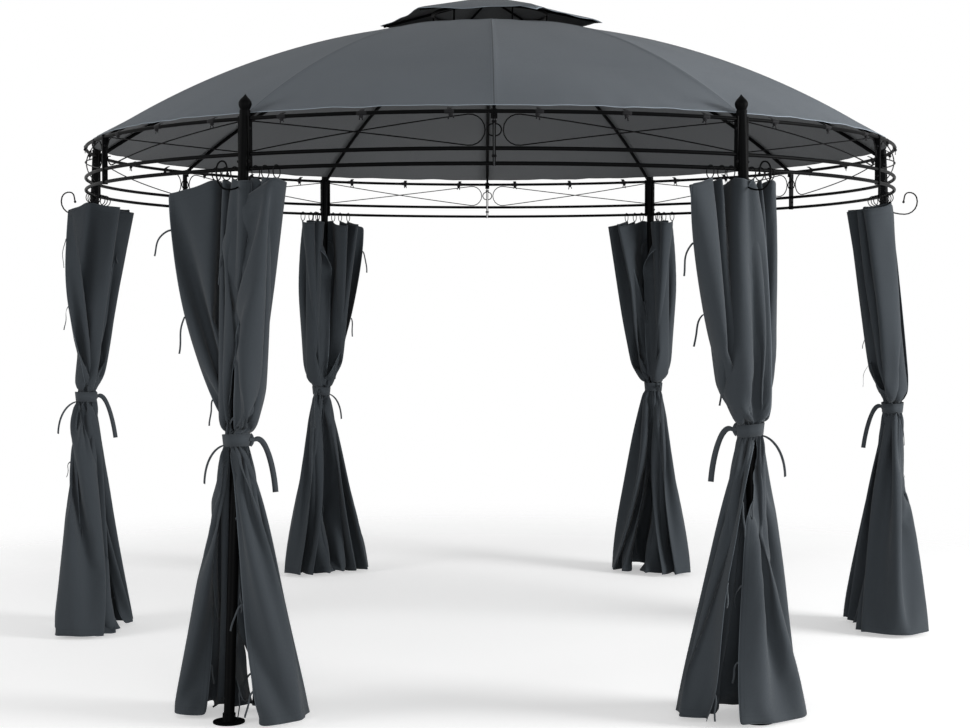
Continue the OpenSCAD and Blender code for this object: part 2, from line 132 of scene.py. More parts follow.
# How far each corner of the cap droops, from front_left on
VENT_DROOPS = [0.003, 0.022, 0.010, 0.004, 0.004, 0.002]
VENT_DROOP_REACH = 0.5
VENT_FIRST_SHARE = 0.02
VENT_CORNERS = 9
VENT_TIP_SHARE = 0.1
VENT_FLUTTER = 0.003
VENT_FLUTTERS = 2
VENT_FLUTTER_STEP = 1.7
VENT_POINT_U = 0.02

# Curtains, as two halves that hang beside each post
CURTAIN_W = 0.92
CURTAIN_L = 1.955
CURTAIN_TOP_Z = 1.912
CURTAIN_HEM_Z = 0.016
CURTAIN_LOW_Z = 0.003
WAIST_Z = 1.02
WAIST_IN_R = 0.0215
WAIST_OUT_R = 0.0435
WAIST_PLEATS = 9
WAIST_FROM = math.radians(-84)
WAIST_TO = math.radians(101)
WAIST_PAST = -0.008
WAIST_ROWS = 1
POST_CLEAR_R = 0.025
CURTAIN_COLS = 44
ROWS_UP = 36
ROWS_DOWN = 40
TOP_DIP = 0.010
TOP_DIP_SHARE = 0.08
SMALL_SHARE = 0.001
TIED_UP_POWER = 1.15
TIED_DOWN_POWER = 0.9
LINE_STEPS = 24
FOLD_RANGE = (0.3, 3.0)
FOLD_TRIES = 30
POLE_EXTRA = 0.2
POLE_GAP = 0.003
CURTAIN_T = 0.0012
GATHER_FRAMES = 24
SETTLE_FRAMES = 22
# Plan of each half at its top and hem as (along the tube from the post, outwards), how far its free corner
# droops, its length down to the waist, and which points of the top lie at its rings and which are held
STYLES = {
    "flap": {
        "top": [(-0.046, 0.008), (-0.004, 0.050), (0.046, 0.0), (0.054, -0.130), (0.076, -0.130),
                (0.086, 0.0), (0.094, -0.130), (0.120, -0.130), (0.133, 0.0), (0.305, 0.040)],
        "rings": [2, 5, 8],
        "hem": [(0.095, 0.015), (0.165, 0.055), (0.225, 0.030), (0.240, -0.080), (0.205, -0.190),
                (0.150, -0.100), (0.135, -0.230), (0.095, -0.120), (0.050, -0.235), (-0.025, -0.180)],
        "droop": 0.035,
        "up": 0.908,
        "pegs": [0, 2, 5, 8, 9],
    },
    "bulge": {
        "top": [(0.034, -0.120), (0.046, 0.0), (0.054, -0.090), (0.076, -0.090), (0.086, 0.0),
                (0.094, -0.080), (0.120, -0.080), (0.133, 0.0), (0.172, 0.050), (0.120, 0.130),
                (0.015, 0.115)],
        "rings": [1, 4, 7],
        "hem": [(-0.030, -0.160), (0.050, -0.235), (0.095, -0.115), (0.135, -0.230), (0.150, -0.100),
                (0.205, -0.200), (0.245, -0.090), (0.205, 0.000), (0.150, 0.030)],
        "droop": 0.010,
        "up": 0.925,
        "pegs": [1, 4, 7],
    },
    "pocket": {
        "top": [(-0.046, 0.008), (-0.004, 0.052), (0.046, 0.0), (0.054, -0.140), (0.076, -0.140),
                (0.086, 0.0), (0.094, -0.120), (0.120, -0.120), (0.133, 0.0), (0.245, 0.015)],
        "rings": [2, 5, 8],
        "hem": [(0.205, -0.030), (0.165, -0.090), (0.240, -0.140), (0.190, -0.235), (0.150, -0.110),
                (0.120, -0.235), (0.095, -0.110), (0.045, -0.225), (-0.075, -0.150)],
        "droop": 0.020,
        "up": 0.930,
        "pegs": [0, 2, 5, 8, 9],
    },
    "slim": {
        "top": [(0.006, 0.032), (0.046, 0.0), (0.054, -0.130), (0.076, -0.130), (0.086, 0.0),
                (0.094, -0.130), (0.122, -0.130), (0.133, 0.0), (0.160, -0.060), (0.135, -0.110)],
        "rings": [1, 4, 7],
        "hem": [(-0.130, 0.062), (0.000, 0.100), (0.140, 0.085), (0.230, -0.020), (0.205, -0.130),
                (0.155, -0.225), (0.125, -0.130), (0.100, -0.235), (0.050, -0.205)],
        "droop": 0.008,
        "up": 0.925,
        "pegs": [0, 1, 4, 7, 9],
    },
}
# Style of the half on the clockwise and on the other side of each post
HALVES = {
    "front_left": ("flap", "bulge"),
    "front_right": ("pocket", "slim"),
    "right": ("slim", "pocket"),
    "back_right": ("bulge", "slim"),
    "back_left": ("pocket", "bulge"),
    "left": ("slim", "flap"),
}
# How far each curtain is tied above or below the middle strap height
WAIST_SHIFT = {
    "front_left": -0.028,
    "front_right": 0.008,
    "right": -0.018,
    "back_right": -0.006,
    "back_left": -0.030,
    "left": 0.030,
}

# Straps and strings
STRAP_R = 0.0452
STRAP_H = 0.044
STRAP_W = 0.021
STRAP_T = 0.0016
STRING_W = 0.007
STRING_T = 0.0012
STRING_HEIGHTS = [0.09, 0.25, 0.38, 0.62, 0.78, 0.93]
STRING_SCATTER = 0.03
STRING_LENGTH = (0.08, 0.13)
STRING_STRAY = 0.35
STRING_SWING = 0.25
STRING_POINTS = 12
STRING_REACH = 0.40
STRING_CURL = 0.45
STRING_SWAY = 0.15
STRING_FALL = 0.08
STRING_DROP = 0.80
STRING_DROP_POWER = 1.6
STRING_RIPPLE = 0.006
STRING_RIPPLES = 7
STRING_PHASE = 6
STRING_TWIST = 0.4
STRING_LOW_Z = 0.8 * STRING_W
STRAP_START = 0.5
STRAP_TURN = 2.35 * math.pi
STRAP_POINTS = 64
STRAP_WAVE = 0.004
STRAP_WAVE_PHASE = 0.6
STRAP_SLOPE = 0.004
STRAP_GROW = 0.0030
STRAP_RIPPLE = 0.0010
STRAP_RIPPLES = 3
STRAP_FINE = 0.0007
STRAP_FINES = 7
STRAP_LEAN = 0.10
KNOT_OUT = 0.003
KNOT_DROP = 0.002
KNOT_POINTS = 9
KNOT_SIDES = 8
# Rise, reach aside, bulge, bow and radius of the two loops of a knot
KNOT_LOOPS = [(0.019, 0.006, 0.005, 0.009, 0.0075), (-0.004, 0.016, 0.001, 0.008, 0.0065)]
TAIL_POINTS = 22
TAIL_OUT = 0.010
TAIL_REACH = 0.075
TAIL_REACH_TURN = 1.35
TAIL_ASIDE = 0.040
TAIL_ARCH = 0.016
TAIL_ARCH_TURN = 4.2
TAIL_DROP = 0.190
TAIL_DROP_POWER = 1.9
TAIL_TWIST = 1.5
TAIL_TWIST_RATE = 2.2
TAIL_NARROW = 0.25
TAIL_NARROW_RATE = 12
TAIL_TILT = 0.3
THIN_TURN = 2.7
THIN_REACH = 0.085
THIN_REACH_TURN = 1.5
THIN_FALL = 0.010
THIN_DROP = 0.130
THIN_DROP_POWER = 1.8
THIN_RISE = 0.4
THIN_W = 0.009

# Bolts
BOLT_DROP = 0.035
BOLT_HEAD = (0.0055, 0.0055, 0.0034)
BOLT_RINGS = 6
BOLT_SIDES = 10
POST_BAR_SIDE = 0.0243
MID_BAR_SIDE = 0.0055

# Camera and light
CAMERA_AT = (-0.0602, -7.2526, 1.482)
CAMERA_TURN = (math.pi / 2 - 0.0395, 0, -0.0053)
CAMERA_LENS = 60.11
CAMERA_SENSOR = 36
FLOOR_GLOW = 0.42
FLOOR_R = 5.2
FLOOR_SIDES = 96
FLOOR_Z = -0.0005
FLOOR_COLOUR = (0.86, 0.86, 0.86, 1)
FLOOR_ROUGHNESS = 0.9
FLOOR_SPECULAR = 0.1
FLOOR_FADE = (2.2, 4.6)
WHITE = (1, 1, 1, 1)
AMBIENT = 0.30
BACKDROP = 1.0
# Name, place, aim, diameter and power of each lamp
LAMPS = [
    ("key", (8.2, -3.0, 2.1), (0, 0, 1.7), 4.0, 960),
    ("fill", (-7.6, -4.0, 1.9), (0, 0, 1.6), 4.5, 290),
    ("front", (0.4, -9.5, 1.0), (0, 0, 1.0), 4.0, 260),
]

# Powder coat
METAL_COLOUR = (0.0022, 0.0023, 0.0025)
METAL_ROUGHNESS = 0.42
RING_COLOUR = (0.0070, 0.0070, 0.0075)
RING_ROUGHNESS = 0.32
BOLT_COLOUR = (0.010, 0.010, 0.011)
BOLT_ROUGHNESS = 0.30
METAL_SPECULAR = 0.02
SCUFF_SCALE = 38
SCUFF_RANGE = (0.62, 0.78)
SCUFF_SHARE = 0.25
SCUFF_TIMES = 4
PATCH_SCALE = 9
PATCH_ROUGHNESS = 0.18
PEEL_SCALE = 900
PEEL_DETAIL = 2
PEEL_STRENGTH = 0.12
PEEL_DEPTH = 0.0004

# Cloth
CANOPY_COLOUR = (0.115, 0.132, 0.150)
CANOPY_UNDER_COLOUR = (0.115, 0.120, 0.125)
# Vent cap underside: the canopy cloth darkened as painted shade, since little light reaches under the cap
VENT_UNDER_SHADE_COLOUR = (0.034, 0.036, 0.038)
CURTAIN_COLOUR = (0.033, 0.039, 0.045)
STRAP_COLOUR = (0.036, 0.042, 0.048)
TIE_COLOUR = (0.008, 0.008, 0.009)
CANOPY_THREAD = 0.0011
CURTAIN_THREAD = 0.0010
CANOPY_ROUGHNESS = 0.75
UNDER_ROUGHNESS = 0.8
CURTAIN_ROUGHNESS = 0.78
TIE_ROUGHNESS = 0.7
CANOPY_SHEEN = 0.05
VENT_UNDER_SHEEN = 0.03
CURTAIN_SHEEN = 0.08
TIE_SHEEN = 0.02
CLOTH_SPECULAR = 0.10
SHEEN_ROUGHNESS = 0.5
SLOW_SCALE = 3.5
SLOW_DETAIL = 4
SLOW_SHADE = 0.16
FINE_SCALE = 160
FINE_DETAIL = 3
FINE_SHADE = 0.22
WEAVE_SHADE = 0.06
WEAVE_HEIGHT = 0.35
WEAVE_STRENGTH = 0.5
WEAVE_DEPTH = 0.0005

# Seams, stitches and edges: half widths and places, then height and shade; the pale edge lines are painted
# highlights
SEAM_LINE = 0.0016
SEAM_HEIGHT = -0.8
SEAM_SHADE = 0.45
SEAM_STITCH_OFF = 0.009
CANOPY_HEM = 0.024
CANOPY_STITCH_HEIGHT = 0.5
CANOPY_STITCH_SHADE = 0.75
# The canopy's hem edge is painted lighter as a painted highlight
CANOPY_EDGE = 0.002
CANOPY_EDGE_HIGHLIGHT = 2.4
EDGE_HEIGHT = 0.4
CURTAIN_SIDE_HEM = 0.020
CURTAIN_TOP_HEM = 0.030
CURTAIN_FOOT_HEM = 0.028
CURTAIN_STITCH_HEIGHT = 0.4
CURTAIN_STITCH_SHADE = 0.7
# The curtain's pale side, foot and top edge lines are painted highlights
CURTAIN_EDGE = 0.0022
CURTAIN_SIDE_HIGHLIGHT = 2.2
CURTAIN_FOOT_HIGHLIGHT = 2.0
CURTAIN_TOP_HIGHLIGHT = 1.8

# A direction that no tube runs along
TUBE_REFERENCE = (0.31, 0.17, 0.94)

SEED = 7
rng = np.random.default_rng(SEED)


def post_out(z):
    """How far outwards of the ring a post's axis stands at a height."""
    return FOOT_SPLAY * (1 - z / POST_TOP_Z)


def add_object(name, verts, faces, materials, uv=None, body="root"):
    """A smooth mesh object that rides on the frame, with one UV pair per face corner where uv is given."""
    mesh = bpy.data.meshes.new(name)
    mesh.from_pydata(np.asarray(verts, float).tolist(), [], [list(map(int, f)) for f in faces])
    if uv is not None:
        layer = mesh.uv_layers.new(name="metres")
        layer.data.foreach_set("uv", np.asarray(uv, float).reshape(-1))
    mesh.polygons.foreach_set("use_smooth", [True] * len(mesh.polygons))
    for material in materials:
        mesh.materials.append(material)
    mesh.update()
    obj = bpy.data.objects.new(name, mesh)
    bpy.context.scene.collection.objects.link(obj)
    if body:
        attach(obj, body)
    return obj


def grid_faces(rows, cols, wrap=False):
    """Quads over a grid of points, row by row."""
    index = np.arange(rows * cols).reshape(rows, cols)
    if wrap:
        index = np.hstack([index, index[:, :1]])
    return np.stack([index[:-1, :-1], index[1:, :-1], index[1:, 1:], index[:-1, 1:]], -1).reshape(-1, 4)


def grid_uv(u, v):
    """UV of every face corner of a grid, from one value per point."""
    corners = [(slice(None, -1), slice(None, -1)), (slice(1, None), slice(None, -1)),
               (slice(1, None), slice(1, None)), (slice(None, -1), slice(1, None))]
    return np.stack([np.stack([u[c], v[c]], -1) for c in corners], -2).reshape(-1, 2)


class Soup:
    """Several small shapes gathered into one mesh."""

    def __init__(self):
        self.verts = []
        self.faces = []

    def add(self, verts, faces):
        first = len(self.verts)
        self.verts.extend([list(map(float, p)) for p in verts])
        self.faces.extend([[int(k) + first for k in f] for f in faces])

    def tube(self, points, radius, sides=6):
        """A round rod along points, closed at both ends."""
        path = np.asarray(points, float)
        along = np.gradient(path, axis=0)
        along /= np.linalg.norm(along, axis=1)[:, None]
        aside = np.cross(along, TUBE_REFERENCE)
        aside /= np.linalg.norm(aside, axis=1)[:, None]
        third = np.cross(along, aside)
        turn = np.arange(sides) * 2 * math.pi / sides
        ring = np.cos(turn)[None, :, None] * aside[:, None] + np.sin(turn)[None, :, None] * third[:, None]
        verts = path[:, None] + radius * ring
        faces = [list(f) for f in grid_faces(len(path), sides, wrap=True)]
        faces.append(list(range(sides)))
        faces.append([len(path) * sides - 1 - k for k in range(sides)])
        self.add(verts.reshape(-1, 3), faces)

    def ribbon(self, points, across, width, thickness):
        """A flat tape along points, across being the direction of its width at each point."""
        path = np.asarray(points, float)
        wide = np.asarray(across, float)
        wide /= np.linalg.norm(wide, axis=1)[:, None]
        along = np.gradient(path, axis=0)
        face = np.cross(along, wide)
        face /= np.linalg.norm(face, axis=1)[:, None]
        corners = [(-1, -1), (1, -1), (1, 1), (-1, 1)]
        half = np.broadcast_to(np.asarray(width, float) / 2, len(path))[:, None]
        verts = np.stack([path + a * wide * half + b * face * thickness / 2 for a, b in corners], 1)
        faces = [list(f) for f in grid_faces(len(path), 4, wrap=True)]
        faces.append([0, 1, 2, 3])
        faces.append([len(path) * 4 - 1 - k for k in range(4)])
        self.add(verts.reshape(-1, 3), faces)

    def ball(self, centre, radii, axes=np.eye(3), rings=7, sides=10):
        """An ellipsoid with its three radii along the rows of axes."""
        up = np.linspace(-math.pi / 2, math.pi / 2, rings + 1)[1:-1]
        turn = np.arange(sides) * 2 * math.pi / sides
        grid = np.stack([np.cos(up)[:, None] * np.cos(turn), np.cos(up)[:, None] * np.sin(turn),
                         np.sin(up)[:, None] + 0 * turn], -1).reshape(-1, 3)
        shape = np.vstack([grid, [[0, 0, -1], [0, 0, 1]]]) * np.asarray(radii)
        faces = [list(f) for f in grid_faces(len(up), sides, wrap=True)]
        low, high = len(grid), len(grid) + 1
        last = (len(up) - 1) * sides
        for k in range(sides):
            faces.append([low, (k + 1) % sides, k])
            faces.append([high, last + k, last + (k + 1) % sides])
        self.add(np.asarray(centre) + shape @ np.asarray(axes), faces)


def at_angle(turn, r, along, z):
    """Points of the row frame from outward distance, distance along the ring and height at an angle."""
    out = np.array([math.cos(turn), math.sin(turn)])
    side = np.array([-math.sin(turn), math.cos(turn)])
    flat = np.multiply.outer(r, out) + np.multiply.outer(along, side)
    return np.concatenate([flat, np.asarray(z, float)[..., None] + 0 * flat[..., :1]], -1)


# Materials

def new_material(name):
    material = bpy.data.materials.new(name)
    material.use_nodes = True
    tree = material.node_tree
    shader = tree.nodes["Principled BSDF"]
    return material, tree, shader


def node(tree, kind, **values):
    made = tree.nodes.new(kind)
    for key, value in values.items():
        setattr(made, key, value)
    return made


def maths(tree, operation, a, b=None, c=None):
    """A math node fed by sockets or plain values."""
    made = node(tree, "ShaderNodeMath", operation=operation)
    for k, value in enumerate([a, b, c]):
        if value is None:
            continue
        if isinstance(value, (int, float)):
            made.inputs[k].default_value = value
        else:
            tree.links.new(value, made.inputs[k])
    return made.outputs[0]


def noise(tree, vector, scale, detail=3.0, roughness=0.55):
    made = node(tree, "ShaderNodeTexNoise")
    made.inputs["Scale"].default_value = scale
    made.inputs["Detail"].default_value = detail
    made.inputs["Roughness"].default_value = roughness
    tree.links.new(vector, made.inputs["Vector"])
    return made.outputs["Fac"]


def ramp(tree, value, low, high):
    """Smoothly from 0 at low to 1 at high."""
    made = node(tree, "ShaderNodeMapRange", interpolation_type="SMOOTHSTEP")
    made.inputs["From Min"].default_value = low
    made.inputs["From Max"].default_value = high
    tree.links.new(value, made.inputs["Value"])
    return made.outputs["Result"]


def mix_colour(tree, factor, a, b):
    made = node(tree, "ShaderNodeMix", data_type="RGBA")
    sockets = [s for s in made.inputs if s.enabled]
    for socket, value in zip(sockets, (factor, a, b)):
        if isinstance(value, (int, float)):
            socket.default_value = value
        elif isinstance(value, tuple):
            socket.default_value = (*value, 1)
        else:
            tree.links.new(value, socket)
    return [s for s in made.outputs if s.enabled][0]


def bump(tree, shader, height, strength, distance):
    made = node(tree, "ShaderNodeBump")
    made.inputs["Strength"].default_value = strength
    made.inputs["Distance"].default_value = distance
    tree.links.new(height, made.inputs["Height"])
    tree.links.new(made.outputs["Normal"], shader.inputs["Normal"])


def powder_coat(name, colour, roughness):
    """Satin powder coat with a fine orange peel and faint scuffs."""
    material, tree, shader = new_material(name)
    where = node(tree, "ShaderNodeTexCoord").outputs["Object"]
    scuff = ramp(tree, noise(tree, where, SCUFF_SCALE), *SCUFF_RANGE)
    patches = maths(tree, "SUBTRACT", noise(tree, where, PATCH_SCALE), 0.5)
    worn = tuple(SCUFF_TIMES * c for c in colour)
    shown = mix_colour(tree, maths(tree, "MULTIPLY", scuff, SCUFF_SHARE), colour, worn)
    tree.links.new(shown, shader.inputs["Base Color"])
    rough = maths(tree, "MULTIPLY_ADD", patches, PATCH_ROUGHNESS, roughness)
    tree.links.new(rough, shader.inputs["Roughness"])
    shader.inputs["Specular IOR Level"].default_value = METAL_SPECULAR
    bump(tree, shader, noise(tree, where, PEEL_SCALE, PEEL_DETAIL), PEEL_STRENGTH, PEEL_DEPTH)
    return material


def woven(name, colour, thread, roughness, sheen, lines):
    """Woven cloth over metric UVs: threads, slow shade, and lines of seams, stitches and painted edge
    highlights as masks.
    """
    material, tree, shader = new_material(name)
    uv = node(tree, "ShaderNodeTexCoord").outputs["UV"]
    parts = node(tree, "ShaderNodeSeparateXYZ")
    tree.links.new(uv, parts.inputs[0])
    u, v = parts.outputs[0], parts.outputs[1]
    warp = maths(tree, "SINE", maths(tree, "MULTIPLY", u, 2 * math.pi / thread))
    weft = maths(tree, "SINE", maths(tree, "MULTIPLY", v, 2 * math.pi / thread))
    weave = maths(tree, "MULTIPLY", warp, weft)
    slow = maths(tree, "SUBTRACT", noise(tree, uv, SLOW_SCALE, SLOW_DETAIL), 0.5)
    fine = maths(tree, "SUBTRACT", noise(tree, uv, FINE_SCALE, FINE_DETAIL), 0.5)
    shade = maths(tree, "MULTIPLY_ADD", slow, SLOW_SHADE, 1.0)
    shade = maths(tree, "MULTIPLY_ADD", fine, FINE_SHADE, shade)
    shade = maths(tree, "MULTIPLY_ADD", weave, WEAVE_SHADE, shade)
    tint = node(tree, "ShaderNodeVectorMath", operation="SCALE")
    tint.inputs[0].default_value = colour
    tree.links.new(shade, tint.inputs["Scale"])
    result = tint.outputs[0]
    height = maths(tree, "MULTIPLY", weave, WEAVE_HEIGHT)
    for mask, depth, change in lines(tree, u, v):
        result = mix_colour(tree, mask, result, tuple(c * change for c in colour))
        height = maths(tree, "MULTIPLY_ADD", mask, depth, height)
    tree.links.new(result, shader.inputs["Base Color"])
    shader.inputs["Roughness"].default_value = roughness
    shader.inputs["Sheen Weight"].default_value = sheen
    shader.inputs["Sheen Roughness"].default_value = SHEEN_ROUGHNESS
    shader.inputs["Specular IOR Level"].default_value = CLOTH_SPECULAR
    bump(tree, shader, height, WEAVE_STRENGTH, WEAVE_DEPTH)
    return material


def line_mask(tree, distance, half_width):
    """One where a distance is smaller than a half width."""
    return maths(tree, "LESS_THAN", maths(tree, "ABSOLUTE", distance), half_width)


def stitch_mask(tree, distance, along, pitch=0.005, share=0.62, half_width=0.0007):
    """Dashes of thread where distance is near zero."""
    step = maths(tree, "FRACT", maths(tree, "MULTIPLY", along, 1 / pitch))
    dash = maths(tree, "LESS_THAN", step, share)
    return maths(tree, "MULTIPLY", line_mask(tree, distance, half_width), dash)


def canopy_lines(tree, u, v):
    """Seams along the ribs with a stitch line on each side, and a hem with a painted highlight along its
    edge.
    """
    beside = maths(tree, "SUBTRACT", maths(tree, "ABSOLUTE", u), SEAM_STITCH_OFF)
    above = maths(tree, "SUBTRACT", v, CANOPY_HEM)
    stitch = (CANOPY_STITCH_HEIGHT, CANOPY_STITCH_SHADE)
    return [
        (line_mask(tree, u, SEAM_LINE), SEAM_HEIGHT, SEAM_SHADE),
        (stitch_mask(tree, beside, v), *stitch),
        (stitch_mask(tree, above, u), *stitch),
        # Painted highlight: a pale line along the hem edge
        (line_mask(tree, v, CANOPY_EDGE), EDGE_HEIGHT, CANOPY_EDGE_HIGHLIGHT),
    ]


def plain_lines(tree, u, v):
    """No lines at all."""
    return []


def curtain_lines(tree, u, v):
    """Hems on the sides, top and foot of a half curtain with their stitches, and painted highlights along
    its edges.
    """
    half = CURTAIN_W / 2
    beside = maths(tree, "SUBTRACT", half, maths(tree, "ABSOLUTE", maths(tree, "SUBTRACT", u, half)))
    below = maths(tree, "SUBTRACT", CURTAIN_L, v)
    stitch = (CURTAIN_STITCH_HEIGHT, CURTAIN_STITCH_SHADE)
    return [
        (stitch_mask(tree, maths(tree, "SUBTRACT", beside, CURTAIN_SIDE_HEM), v), *stitch),
        (stitch_mask(tree, maths(tree, "SUBTRACT", v, CURTAIN_TOP_HEM), u), *stitch),
        (stitch_mask(tree, maths(tree, "SUBTRACT", below, CURTAIN_FOOT_HEM), u), *stitch),
        # Painted highlights: pale lines along the side, foot and top edges
        (line_mask(tree, beside, CURTAIN_EDGE), EDGE_HEIGHT, CURTAIN_SIDE_HIGHLIGHT),
        (line_mask(tree, below, CURTAIN_EDGE), EDGE_HEIGHT, CURTAIN_FOOT_HIGHLIGHT),
        (line_mask(tree, v, CURTAIN_EDGE), EDGE_HEIGHT, CURTAIN_TOP_HIGHLIGHT),
    ]


metal = powder_coat("powder_coat", METAL_COLOUR, METAL_ROUGHNESS)
ring_metal = powder_coat("ring_black", RING_COLOUR, RING_ROUGHNESS)
zinc = powder_coat("bolt_black", BOLT_COLOUR, BOLT_ROUGHNESS)
canopy_cloth = woven("canopy_cloth", CANOPY_COLOUR, CANOPY_THREAD, CANOPY_ROUGHNESS, CANOPY_SHEEN,
                     canopy_lines)
canopy_under = woven("canopy_underside", CANOPY_UNDER_COLOUR, CANOPY_THREAD, UNDER_ROUGHNESS, CANOPY_SHEEN,
                     plain_lines)
# Painted shade: the vent cap's underside is the canopy cloth made darker where light falls short
vent_under_painted_shade = woven("vent_underside_painted_shade", VENT_UNDER_SHADE_COLOUR, CANOPY_THREAD, UNDER_ROUGHNESS, VENT_UNDER_SHEEN,
                   plain_lines)
curtain_cloth = woven("curtain_cloth", CURTAIN_COLOUR, CURTAIN_THREAD, CURTAIN_ROUGHNESS, CURTAIN_SHEEN,
                      curtain_lines)
strap_cloth = woven("strap_cloth", STRAP_COLOUR, CURTAIN_THREAD, CURTAIN_ROUGHNESS, CURTAIN_SHEEN,
                    plain_lines)
tie_cloth = woven("tie_cloth", TIE_COLOUR, CURTAIN_THREAD, TIE_ROUGHNESS, TIE_SHEEN, plain_lines)


def add_solidify(obj, thickness, offset, inner=0):
    mod = obj.modifiers.new("Thickness", "SOLIDIFY")
    mod.thickness = thickness
    mod.offset = offset
    mod.material_offset = inner


# Roof canopy

def build_canopy():
    """One sheet over the twelve ribs: flat gores with raised seams, tied down along the hem."""
    share_rows = np.linspace(0, 1, CANOPY_ROWS + 1)**CANOPY_ROW_POWER
    hem_angle = math.acos((HEM_R - ARC_X) / CANOPY_R)
    vent_angle = math.acos((VENT_EDGE_R - ARC_X) / CANOPY_R)
    step = hem_angle + (vent_angle - hem_angle) * share_rows
    shares = np.array(GORE_SHARES)
    per_gore = len(shares)
    gore_share = np.tile(shares, RIBS)
    turn = FIRST_POST_ANGLE + GORE_ANGLE * (np.repeat(np.arange(RIBS), per_gore) + gore_share)
    off = (gore_share - 0.5) * GORE_ANGLE
    flat = math.cos(GORE_ANGLE / 2) / np.cos(off)
    rounding = np.clip(1 - share_rows / ROUND_SHARE, 0, 1)[:, None]
    factor = flat + (1 - flat) * rounding
    tie_phase = np.cos((turn - FIRST_POST_ANGLE) * HEM_TIES + math.pi)
    near_hem = np.exp(-share_rows / HEM_LIFT_SHARE)[:, None]
    pull = np.exp(-share_rows / WRINKLE_SHARE)[:, None]
    seam = np.where(gore_share == 0, SEAM_RISE, 0)
    drift = CREASE_DRIFT * np.sin(CREASE_TURNS * turn)
    creases = WRINKLE * pull * np.sin((turn - FIRST_POST_ANGLE) * 2 * HEM_TIES + drift)
    waves = np.sin(CANOPY_WAVES * math.pi * share_rows)[:, None]
    slow = CANOPY_WAVE * waves * np.sin(2 * math.pi * gore_share + CANOPY_WAVE_TURNS * turn)
    slow = slow * (np.sin(math.pi * gore_share)**2)
    rise = seam + (creases - slow) * np.sin(math.pi * gore_share)
    lift = HEM_LIFT * near_hem * (1 - tie_phase) / 2 * np.sin(math.pi * gore_share)**0.5
    angle = step[:, None] + (lift + 0 * factor) / CANOPY_R
    reach = CANOPY_R + rise
    x = (ARC_X + reach * np.cos(angle)) * factor
    z = ARC_Z + reach * np.sin(angle)
    points = np.stack([x * np.cos(turn), x * np.sin(turn), z], -1)
    rows, cols = points.shape[:2]
    u_left = np.where(gore_share < 0.5, gore_share, gore_share - 1) * GORE_ANGLE
    right = np.append(shares[1:], 1.0)
    right = np.tile(right, RIBS)
    u_right = np.where(gore_share < 0.5, right, right - 1) * GORE_ANGLE
    run = CANOPY_R * (step - hem_angle)
    u0 = u_left * x
    u1 = u_right * np.roll(x, -1, axis=1)
    v = np.repeat(run[:, None], cols, 1)
    uv = np.stack([np.stack([u0[:-1], v[:-1]], -1), np.stack([u0[1:], v[1:]], -1),
                   np.stack([u1[1:], v[1:]], -1), np.stack([u1[:-1], v[:-1]], -1)], -2)
    faces = grid_faces(rows, cols, wrap=True)[:, ::-1]
    uv = uv[:, :, ::-1].reshape(-1, 2)
    obj = add_object("canopy_cloth", points.reshape(-1, 3), faces, [canopy_cloth, canopy_under], uv)
    add_solidify(obj, CLOTH_T, 1, 1)
    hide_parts("roof_canopy")


def build_hem_ties():
    """Black tapes from the hem round the top tube, each with a small knot under it."""
    soup = Soup()
    wrap_r = RING_TUBE_R + TIE_LIFT
    for k in range(HEM_TIES):
        turn = FIRST_POST_ANGLE + (k + 0.5) * 2 * math.pi / HEM_TIES
        half = rng.uniform(*TIE_HALF)
        shift = rng.uniform(-TIE_SHIFT, TIE_SHIFT)
        along = np.linspace(-half, half, TIE_ROWS) + shift
        around = np.arange(TIE_SIDES) * 2 * math.pi / TIE_SIDES
        bulge = TIE_BULGE * np.cos(np.linspace(-TIE_BULGE_TURN, TIE_BULGE_TURN, TIE_ROWS))
        swell = wrap_r + bulge[:, None] + TIE_RIPPLE * np.sin(TIE_RIPPLES * around + k)
        lean = turn + along / RING_R
        r = RING_R + swell * np.cos(around)
        z = RING_TOP_Z + swell * np.sin(around)
        verts = np.stack([r * np.cos(lean)[:, None], r * np.sin(lean)[:, None], z], -1)
        faces = [list(f) for f in grid_faces(TIE_ROWS, TIE_SIDES, wrap=True)]
        faces.append(list(range(TIE_SIDES)))
        faces.append([TIE_ROWS * TIE_SIDES - 1 - j for j in range(TIE_SIDES)])
        soup.add(verts.reshape(-1, 3), faces)
        out = np.array([math.cos(turn), math.sin(turn), 0])
        side = np.array([-math.sin(turn), math.cos(turn), 0])
        up = np.array([0, 0, 1])
        edge = (HEM_R + TIE_EDGE_OUT) * out + (RING_TOP_Z + TIE_EDGE_UP) * up
        top = RING_R * out + (RING_TOP_Z + wrap_r) * up
        soup.ribbon([edge, (edge + top) / 2 + TIE_ARCH * up, top], [side, side, side], TIE_W, TIE_T)
        slide = rng.uniform(-TIE_KNOT_SHIFT, TIE_KNOT_SHIFT)
        knot_z = RING_TOP_Z - wrap_r - TIE_KNOT_DROP
        knot = (RING_R + TIE_KNOT_OUT) * out + knot_z * up + slide * side
        soup.ball(knot, TIE_KNOT, np.stack([side, out, up]))
        for sign in (-1, 1):
            reach = sign * rng.uniform(*TIE_TAIL_REACH)
            drop = rng.uniform(*TIE_TAIL_DROP)
            bend = knot + TIE_TAIL_BEND[0] * reach * side - TIE_TAIL_BEND[1] * drop * up
            across = [side + share * out for share in TIE_TAIL_TURN]
            soup.ribbon([knot, bend, knot + reach * side - drop * up], across, TIE_TAIL_W, TIE_TAIL_T)
    add_object("hem_ties", soup.verts, soup.faces, [tie_cloth])


# Vent cap

